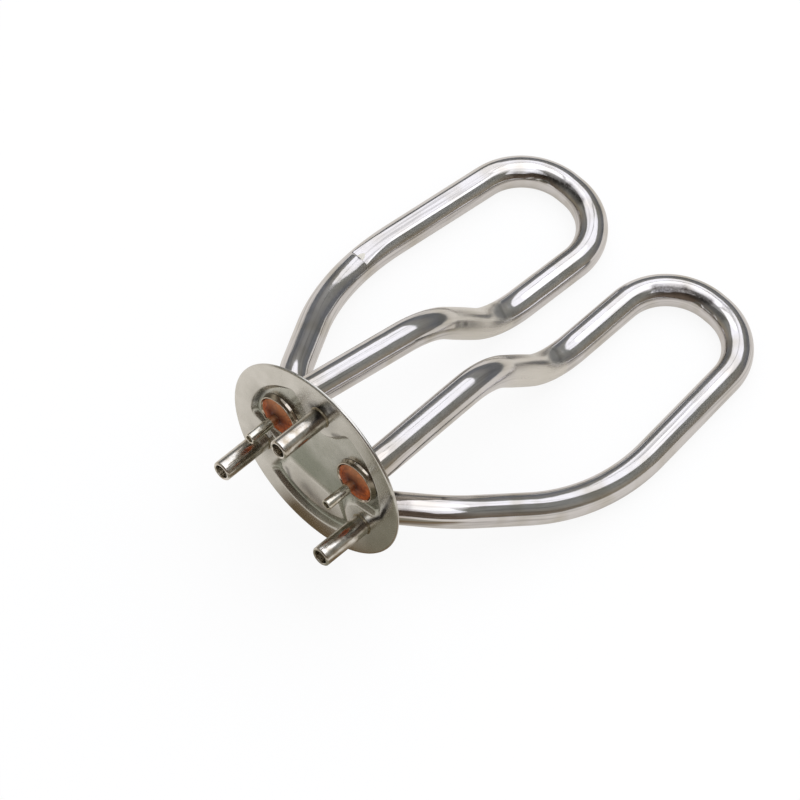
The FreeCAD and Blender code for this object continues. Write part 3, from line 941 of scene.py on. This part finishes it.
@dataclass
class SheathTube:
    """Drawn and plated tube, from one belled mouth round both loops to the other.

    The route is the right half's corners; the left half is its mirror image. The ovals flatten the
    tube by a share of its height, and the dent is a depth in mm. The dull stretch begins and ends
    at places from the start of the jog's lower bend, each with the length of the change. Each tint
    keeps its full depth for a way and then fades. The marks are dark streaks on the skin: a few
    small marks, painted shade in the lower jog bend's crease and on the foot beside the plate, and
    painted dark reflections inside both U-bends.
    """

    radius: float = 3.7
    bore: float = 3.1
    mouth_depth: float = 2.6
    bell_radius: float = 5.25
    bell_bore: float = 4.95
    bell_throat: float = 4.55
    bell_level: float = -0.2
    bell_root: float = 1.15
    bell_root_radius: float = 5.55
    bell_wall: float = 0.5
    lip_steps: int = 8
    lip_run: float = 0.3
    segments: int = 72
    step: float = 0.5
    corners: tuple[Triple, ...] = (
        (LEG_ACROSS, 9.0, LEG_HEIGHT), (9.1, 45.3, -0.4), (8.5, 68.4, -22.5), (7.5, 109.2, -22.5),
        (36.4, 109.2, -22.5), (42.2, 50.6, -22.5), (24.6, 19.1, -12.9), (10.0, 5.55, -12.0))
    bends: tuple[float, ...] = (30.0, 25.0, 23.5, 14.2, 14.2, 54.0, 28.0, 11.0)
    ovals: tuple[Press, ...] = (Press(1, 9.0, 8.0, 0.06), Press(2, 5.0, 7.0, 0.07))
    dent: Press = Press(2, 10.6, 0.5, 0.03)
    least_press: float = 0.003
    dull_start: Pair = (-21.0, 9.0)
    dull_end: Pair = (10.2, 1.2)
    change_ease: float = 0.3
    mouth_tint: Pair = (8.0, 4.0)
    foot_tint: Pair = (0.0, 6.0)
    tint_strength: float = 0.5
    stamp_start: float = 57.0
    stamp_ramp: float = 0.25
    stamp_end: float = 96.0
    stamp_fade: float = 6.0
    stamp_height: float = 3.42
    stamp_inner: float = 29.0
    dark_and_shade_marks: tuple[Mark, ...] = (
        Mark((-5.9, 51.2, -3.7), (-5.9, 52.0, -4.2), 0.6, 0.6),
        Mark((-5.8, 54.4, -6.2), (-5.8, 55.2, -6.9), 0.55, 0.6),
        Mark((-40.3, 56.9, -18.2), (-39.9, 56.8, -18.2), 0.3, 0.9),
        Mark((22.3, 18.7, -9.4), (22.4, 18.8, -9.4), 0.4, 0.8),
        Mark((13.8, 11.0, -8.9), (14.4, 11.5, -9.0), 1.2, 1.0),
        # painted shade in the lower jog bend's crease, on both sides
        Mark((-9.6, 70.7, -17.9), (-7.5, 69.7, -17.4), 0.4, 0.25),
        Mark((-7.5, 69.7, -17.4), (-6.0, 69.2, -18.1), 0.45, 0.3),
        Mark((-11.5, 70.5, -19.2), (-9.6, 69.3, -17.3), 0.7, 0.2),
        Mark((7.0, 71.0, -17.9), (8.7, 70.8, -17.7), 0.5, 0.35),
        Mark((8.7, 70.8, -17.7), (10.8, 70.0, -18.2), 0.5, 0.35),
        # painted dark reflections inside the U-bends of both loops
        Mark((11.2, 101.2, -19.2), (15.7, 105.8, -19.2), 1.1, 0.9),
        Mark((15.7, 105.8, -19.2), (22.0, 107.5, -19.2), 1.1, 0.95),
        Mark((22.0, 107.5, -19.2), (27.0, 106.4, -19.2), 0.9, 0.6),
        Mark((-32.7, 101.2, -19.3), (-28.2, 105.8, -19.2), 1.1, 0.85),
        Mark((-28.2, 105.8, -19.2), (-22.0, 107.5, -19.2), 1.1, 0.95),
        Mark((-22.0, 107.5, -19.2), (-17.7, 106.7, -19.3), 1.1, 0.85),
        # painted shade on the foot beside the plate
        Mark((16.4, 10.0, -9.0), (18.0, 11.2, -9.0), 1.5, 0.4))

    def build(self) -> Piece:
        """Draw the skin ring by ring, press the jog, mirror it and note what the finish needs."""
        self.shape = bmesh.new()
        layers = self.shape.verts.layers
        self.lie = layers.float_vector.new("lie")
        self.dull, self.straw, self.soot_and_shade = (layers.float.new(name) for name in ("dull", "straw", "soot_and_shade"))
        self.start_mouth()
        self.follow_route()
        self.press_jog()
        self.note_finish()
        whole = list(self.shape.verts) + list(self.shape.edges) + list(self.shape.faces)
        bmesh.ops.mirror(self.shape, geom=whole, matrix=Matrix.Identity(4), merge_dist=0.01 * MM, axis="X")
        bmesh.ops.recalc_face_normals(self.shape, faces=self.shape.faces)
        self.press_stamp()
        self.note_dark_and_shade()
        return finished(self.shape, "plated_sheath_tube", TUBE_PLATING, ["sheath_tube"], 40)

    def start_mouth(self) -> None:
        """Start deep in the bore, come out over the rounded lip and go back down to the leg."""
        x, _, z = self.corners[0]
        start = Vector((x, self.mouth_depth, z)) * MM
        made = bmesh.ops.create_circle(
            self.shape, cap_ends=True, segments=self.segments, radius=self.bore * MM,
            matrix=Matrix.Translation(start) @ Matrix.Rotation(math.pi / 2, 4, "X"))
        self.front = list(self.shape.edges)
        self.rings = [Ring(made["verts"], start, Vector((0, 1, 0)), 0.0)]
        before = self.bore
        for radius, level in self.mouth_profile():
            centre = Matrix.Translation(self.rings[-1].centre)
            lift = Matrix.Translation((0, level * MM - self.rings[-1].centre.y, 0))
            grow = Matrix.Diagonal((radius / before, 1, radius / before, 1))
            self.advance(centre @ lift @ grow @ centre.inverted(), self.lip_run)
            before = radius

    def mouth_profile(self) -> list[Pair]:
        """Outline of the belled mouth, as radius and level in mm.

        Returns:
            The bore's step, the inside of the bell, its round lip, the flared outside and the leg.
        """
        lip = (self.bell_radius - self.bell_bore) / 2
        top = self.bell_level + lip
        inside = self.bell_root - self.bell_wall
        profile = [(self.bore, inside + 0.1), (self.bore + 0.15, inside), (self.bell_throat, inside - 0.35),
                   (self.bell_bore, top)]
        profile += [(self.bell_bore + lip - lip * math.cos(angle), top - lip * math.sin(angle))
                    for angle in (math.pi * share / self.lip_steps for share in range(1, self.lip_steps))]
        flank = self.bell_root_radius - self.bell_radius
        profile += [(self.bell_radius + flank * share ** 2, top + (self.bell_root - top - 0.03) * share)
                    for share in (0, 0.35, 0.7, 1)]
        return profile + [(self.radius + 0.2, self.bell_root - 0.01), (self.radius, self.bell_root + 0.15)]

    def advance(self, move: Matrix, length: float) -> None:
        """Extrude the last ring and move the new one.

        Args:
            move: where the new ring goes, in metres.
            length: how much longer the run gets, mm.
        """
        last = self.rings[-1]
        made = bmesh.ops.extrude_edge_only(self.shape, edges=self.front)["geom"]
        points = [item for item in made if isinstance(item, bmesh.types.BMVert)]
        fresh = set(points)
        self.front = [item for item in made if isinstance(item, bmesh.types.BMEdge)
                      and item.verts[0] in fresh and item.verts[1] in fresh]
        bmesh.ops.transform(self.shape, matrix=move, space=Matrix.Identity(4), verts=points)
        self.rings.append(Ring(points, move @ last.centre, move.to_3x3() @ last.heading, last.run + length))

    def go_straight(self, end: Vector) -> None:
        """Extrude the run straight on in even steps.

        Args:
            end: where it goes, in metres.
        """
        start = self.rings[-1].centre
        length = (end - start).length / MM
        count = max(1, round(length / self.step))
        for _ in range(count):
            self.advance(Matrix.Translation((end - start) / count), length / count)

    def go_round(self, middle: Vector, axis: Vector, angle: float, radius: float) -> None:
        """Swing the run round a bend in even steps.

        Args:
            middle: middle of the bend, in metres.
            axis: direction that it turns about.
            angle: how far it turns, in radians.
            radius: radius of the bend, mm.
        """
        count = max(2, round(radius * angle / self.step))
        pivot = Matrix.Translation(middle)
        move = pivot @ Matrix.Rotation(angle / count, 4, axis) @ pivot.inverted()
        for _ in range(count):
            self.advance(move, radius * angle / count)

    def follow_route(self) -> None:
        """Run through the corners of the right half to the middle of the return run."""
        corners = [Vector(corner) * MM for corner in self.corners]
        last = corners[-1]
        following = corners[1:] + [Vector((-last.x, last.y, last.z))]
        self.bend_starts: list[float] = []
        before = self.rings[-1].centre
        for corner, after, radius in zip(corners, following, self.bends):
            arriving, leaving = (corner - before).normalized(), (after - corner).normalized()
            angle = arriving.angle(leaving)
            self.go_straight(corner - arriving * radius * MM * math.tan(angle / 2))
            self.bend_starts.append(self.rings[-1].run)
            inward = (leaving - arriving).normalized()
            middle = corner + inward * (radius * MM / math.cos(angle / 2))
            self.go_round(middle, arriving.cross(leaving).normalized(), angle, radius)
            before = corner
        self.go_straight(Vector((0, last.y, last.z)))

    def press_jog(self) -> None:
        """Flatten the jog as its press tool left it: oval in the bends, with a dent in the lower one."""
        for ring in self.rings:
            flat = sum(press.share(ring.run, self.bend_starts) for press in self.ovals)
            dent = self.dent.share(ring.run, self.bend_starts)
            if max(flat, dent) < self.least_press:
                continue
            normal = Vector((1, 0, 0)).cross(ring.heading).normalized()
            if normal.z < 0:
                normal.negate()
            for point in ring.points:
                height = (point.co - ring.centre).dot(normal) / MM
                lean = max(0.0, height / self.radius)
                point.co -= normal * (height * flat + dent * lean) * MM

    def note_finish(self) -> None:
        """Write each point's place on the unrolled tube, its dullness and its heat tint."""
        jog, foot = self.bend_starts[2], self.bend_starts[7]
        for ring in self.rings:
            begun, ended = (eased((ring.run - jog - place) / length, self.change_ease)
                            for place, length in (self.dull_start, self.dull_end))
            tint = self.tint_strength * sum(
                math.exp(-max(0.0, away - full) / fade)
                for away, (full, fade) in ((ring.run, self.mouth_tint), (foot - ring.run, self.foot_tint)))
            for number, point in enumerate(ring.points):
                angle = math.tau * number / self.segments
                point[self.lie] = (self.radius * math.cos(angle), self.radius * math.sin(angle), ring.run)
                point[self.dull] = begun * (1 - ended)
                point[self.straw] = tint

    def press_stamp(self) -> None:
        """Flatten the top of the left outer leg, where the maker stamped it, and leave the flat bare.

        The skin is first cut across at both ends of the ramp, so that the ramp's edges are straight.
        """
        cut_reach = 3.0
        for level in (self.stamp_start, self.stamp_start + self.stamp_ramp):
            near = [face for face in self.shape.faces if face.calc_center_median().x < -self.stamp_inner * MM
                    and abs(face.calc_center_median().y / MM - level) < cut_reach]
            cut = near + list({edge for face in near for edge in face.edges}) \
                + list({vert for face in near for vert in face.verts})
            bmesh.ops.bisect_plane(self.shape, geom=cut, dist=WELD, plane_co=(0, level * MM, 0),
                                   plane_no=(0, 1, 0))
        flat = self.corners[4][2] + self.stamp_height
        for point in self.shape.verts:
            over = point.co.z / MM - flat
            if point.co.x < -self.stamp_inner * MM and over > 0:
                run = point.co.y / MM
                share = held((run - self.stamp_start) / self.stamp_ramp)
                share *= 1 - eased((run - self.stamp_end) / self.stamp_fade, self.change_ease)
                point.co.z -= over * share * MM

    def note_dark_and_shade(self) -> None:
        """Darken the few small marks that the tube carries: scribe line, scuffs and burnt flux; and paint
        shade in the lower jog bend's crease and on the foot beside the plate, and dark reflections inside
        both U-bends.
        """
        places = [point.co / MM for point in self.shape.verts]
        for mark in self.dark_and_shade_marks:
            for point, value in zip(self.shape.verts, mark.darken(places, 3)):
                point[self.soot_and_shade] = max(point[self.soot_and_shade], value)


# The studio

@dataclass(frozen=True)
class Softbox:
    """Lamp panel over the set: place, size and brightness of its face, in metres."""

    name: str
    place: Triple
    width: float
    depth: float
    brightness: float
    colour: str

    def build(self) -> None:
        """Hang the lamp, face down."""
        lamp = bpy.data.lights.new(self.name, "AREA")
        lamp.shape = "RECTANGLE"
        lamp.size, lamp.size_y = self.width, self.depth
        lamp.energy = self.brightness * math.pi * self.width * self.depth
        lamp.color = linear(self.colour)[:3]
        holder = bpy.data.objects.new(self.name, lamp)
        holder.location = self.place
        holder.visible_camera = False
        bpy.context.scene.collection.objects.link(holder)


@dataclass
class Studio:
    """Pale floor, white tent, dark flags that edge the metal, lamp panels and the camera.

    The floor's gap under the object and the camera's place are millimetres, and the sizes of the
    floor, the flags and the lamps are metres. The cards are painted shadow: colours that only mirrored
    rays see on the floor before the plate and at its foot, where its own shadow lies. The camera was
    solved from the plate's ellipse and the tube's outline.
    """

    floor_colour: str = "#FDFDFD"
    floor_gap: float = 0.02
    floor_size: float = 24.0
    floor_glow: float = 0.88
    mirror_glow: float = 0.5
    cloth_back: str = "#E6E1DA"
    cloth_front: str = "#F0EBE4"
    # painted shadow: colours that only reflections see on the floor before the plate and at its foot
    shadow_card: str = "#969283"
    foot_shadow_card: str = "#7F6D55"
    tent_strength: float = 0.65
    flag_low: str = "#A69B88"
    flag_high: str = "#A4A5A0"
    flag_front: str = "#74665A"
    flag_back: str = "#7C7E80"
    flag_radii: Pair = (1.35, 0.98)
    flag_depth: float = 1.38
    flag_place: Triple = (0.0, 0.05, 0.72)
    panels: tuple[Softbox, ...] = (
        Softbox("left_panel", (-0.63, 0.48, 0.72), 0.66, 0.95, 1.15, "#F6F6FF"),
        Softbox("top_panel", (0.025, 0.48, 0.72), 0.60, 0.95, 1.15, "#F6F6FF"),
        Softbox("front_panel", (0.42, -0.15, 0.72), 0.80, 0.60, 1.1, "#F2F5FF"))
    camera_place: Triple = (513.30, -636.15, 1187.09)
    camera_right: Triple = (0.71428, 0.69533, 0.07950)
    camera_down: Triple = (0.60462, -0.55587, -0.57047)
    focal_pixels: float = 6593.9

    def build(self) -> None:
        """Set up the whole stage."""
        self.build_floor(CAD_BOX[0].z - self.floor_gap * MM)
        self.build_flags()
        self.build_tent()
        for panel in self.panels:
            panel.build()
        self.build_camera()
        bpy.context.scene.view_settings.view_transform = "Standard"

    def build_floor(self, level: float) -> None:
        """Lay the pale floor under the object. It glows, and mirrored rays see the cards on it.

        Args:
            level: height of the floor in metres.
        """
        shape = bmesh.new()
        bmesh.ops.create_grid(shape, x_segments=4, y_segments=4, size=self.floor_size / 2,
                              matrix=Matrix.Translation((0, 0, level)))
        floor = self.add_stage(shape, "pale_floor", self.floor_colour, self.floor_colour)
        tree = floor.data.materials[0].node_tree
        shader = tree.nodes["Principled BSDF"]
        ray = add_node(tree, "LightPath")
        mirrored = ray["Is Glossy Ray"]
        tint = stained(tree, self.floor_colour, self.mirrored_cloth_and_shadow(tree), mirrored)
        tree.links.new(tint, shader.inputs["Base Color"])
        seen = overlap(tree, (ray["Is Camera Ray"], (0.0, 0.0), (1.0, self.floor_glow)))
        through = {0: ray["Is Transmission Ray"], 1: self.floor_glow, 2: seen}
        seen = add_node(tree, "Math", through, operation="MULTIPLY_ADD")[0]
        inputs = {0: mirrored, 1: self.mirror_glow, 2: seen}
        share = add_node(tree, "Math", inputs, operation="MULTIPLY_ADD")[0]
        glow = add_node(tree, "Emission", {"Color": stained(tree, "#FFFFFF", tint, mirrored)})
        mix = add_node(tree, "MixShader", {0: share, 1: shader.outputs[0], 2: glow[0]})
        tree.links.new(mix[0], tree.nodes["Material Output"].inputs["Surface"])

    def mirrored_cloth_and_shadow(self, tree: Tree) -> object:
        """Draw what the metal sees lying on the floor: warm cloth, and painted shadow before the plate, an
        olive card with a darker brown one at its foot.

        Args:
            tree: tree of the floor's material.

        Returns:
            Output socket of the colour.
        """
        place = add_node(tree, "TexCoord")["Object"]
        axes = add_node(tree, "SeparateXYZ", {0: place})
        slant = add_node(tree, "Math", {0: axes["Y"], 1: -0.8, 2: axes["X"]},
                         operation="MULTIPLY_ADD")[0]
        before = overlap(tree, (axes["Y"], (-1 * MM, 1.0), (12 * MM, 0.0)))
        left = (slant, (10.5 * MM, 0.0), (18.5 * MM, 1.0))
        right = (axes["X"], (60 * MM, 1.0), (90 * MM, 0.0))
        front = (axes["Y"], (-90 * MM, 0.0), (-60 * MM, 1.0))
        foot_left = (axes["X"], (-13 * MM, 0.0), (-6 * MM, 1.0))
        foot_front = (axes["Y"], (-8 * MM, 0.0), (-3 * MM, 1.0))
        colour = stained(tree, self.cloth_back, self.cloth_front, before)
        # painted shadow of the plate on the floor before it, seen only in reflections
        colour = stained(tree, colour, self.shadow_card, before, left, right, front)
        # painted contact shadow at the plate's foot, seen only in reflections
        return stained(tree, colour, self.foot_shadow_card, before, foot_left, right, foot_front)

    def build_flags(self) -> None:
        """Stand a dark fabric ring round the set that only the reflections see."""
        shape = bmesh.new()
        bmesh.ops.create_cone(shape, cap_ends=False, segments=96, radius1=self.flag_radii[0],
                              radius2=self.flag_radii[1], depth=self.flag_depth,
                              matrix=Matrix.Translation(self.flag_place))
        flags = self.add_stage(shape, "dark_flags", self.flag_low, self.flag_high)
        tree = flags.data.materials[0].node_tree
        base = tree.nodes["Principled BSDF"].inputs["Base Color"]
        place = add_node(tree, "TexCoord")["Object"]
        facing, behind = (
            add_node(tree, "VectorMath", {0: place, 1: direction}, operation="DOT_PRODUCT")["Value"]
            for direction in ((0.6, -0.8, 0.0), (-0.4, 0.9, 0.0)))
        height = add_node(tree, "SeparateXYZ", {0: place})["Z"]
        colour = stained(tree, base.links[0].from_socket, self.flag_front, (facing, (0.3, 0.0), (1.0, 1.0)))
        colour = stained(tree, colour, self.flag_back, (behind, (0.2, 0.0), (0.8, 1.0)),
                         (height, (0.35, 1.0), (0.8, 0.0)))
        tree.links.new(colour, base)
        for ray in ("camera", "diffuse", "transmission", "shadow"):
            setattr(flags, "visible_" + ray, False)

    def add_stage(self, shape: Shape, name: str, low: str, high: str) -> Piece:
        """Add a matt stage object.

        Args:
            shape: its shape in metres, which is freed.
            name: name of the object and of its material.
            low: colour at its foot, sRGB hex.
            high: colour towards its top, sRGB hex.

        Returns:
            The new object.
        """
        made = bpy.data.materials.new(name)
        made.use_nodes = True
        tree = made.node_tree
        shader = tree.nodes["Principled BSDF"]
        shader.inputs["Roughness"].default_value = 0.9
        shader.inputs["Specular IOR Level"].default_value = 0.0
        place = add_node(tree, "TexCoord")["Object"]
        height = add_node(tree, "SeparateXYZ", {0: place})["Z"]
        colour = stained(tree, low, high, (height, (0.1, 0.0), (0.8, 1.0)))
        tree.links.new(colour, shader.inputs["Base Color"])
        piece = placed(shape, name, made)
        return piece

    def build_tent(self) -> None:
        """Light the set from all round with a plain white world."""
        world = bpy.data.worlds.new("white_tent")
        bpy.context.scene.world = world
        world.use_nodes = True
        sky = world.node_tree.nodes["Background"]
        sky.inputs["Color"].default_value = linear("#FFFFFF")
        sky.inputs["Strength"].default_value = self.tent_strength

    def build_camera(self) -> None:
        """Place the camera at the photograph's angle."""
        lens = bpy.data.cameras.new("camera")
        lens.sensor_width = SENSOR_WIDTH
        lens.lens = self.focal_pixels / PICTURE_WIDTH * SENSOR_WIDTH
        lens.clip_end = 100
        right = Vector(self.camera_right).normalized()
        up = -Vector(self.camera_down)
        up = (up - right * up.dot(right)).normalized()
        turn = Matrix((right, up, right.cross(up))).transposed()
        holder = bpy.data.objects.new("camera", lens)
        holder.matrix_world = Matrix.Translation(Vector(self.camera_place) * MM) @ turn.to_4x4()
        bpy.context.scene.collection.objects.link(holder)
        bpy.context.scene.camera = holder


def dress_nodes() -> None:
    """Give the nodes that stay as they are their finishes."""
    finishes = {"resistance_coil": WINDING, "magnesia_fill": MAGNESIA, "return_braze": BRAZE_ALLOY}
    for side in Side:
        finishes["insulating_bead_" + side.name.lower()] = BEAD_CERAMIC
    for name, finish in finishes.items():
        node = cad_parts[name]
        node.data.materials.clear()
        node.data.materials.append(finish.material())
        LOG.info("%s: dressed", name)


def main() -> None:
    """Build the element, piece by piece, and the studio round it."""
    logging.basicConfig(level=logging.INFO, format="%(name)s: %(message)s")
    dress_nodes()
    HeadPlate().build()
    SheathTube().build()
    for side in Side:
        TubeEnd().build(side)
    for seat in Seat:
        FixingStud().build(seat)
    Studio().build()


if __name__ == "__main__":
    main()
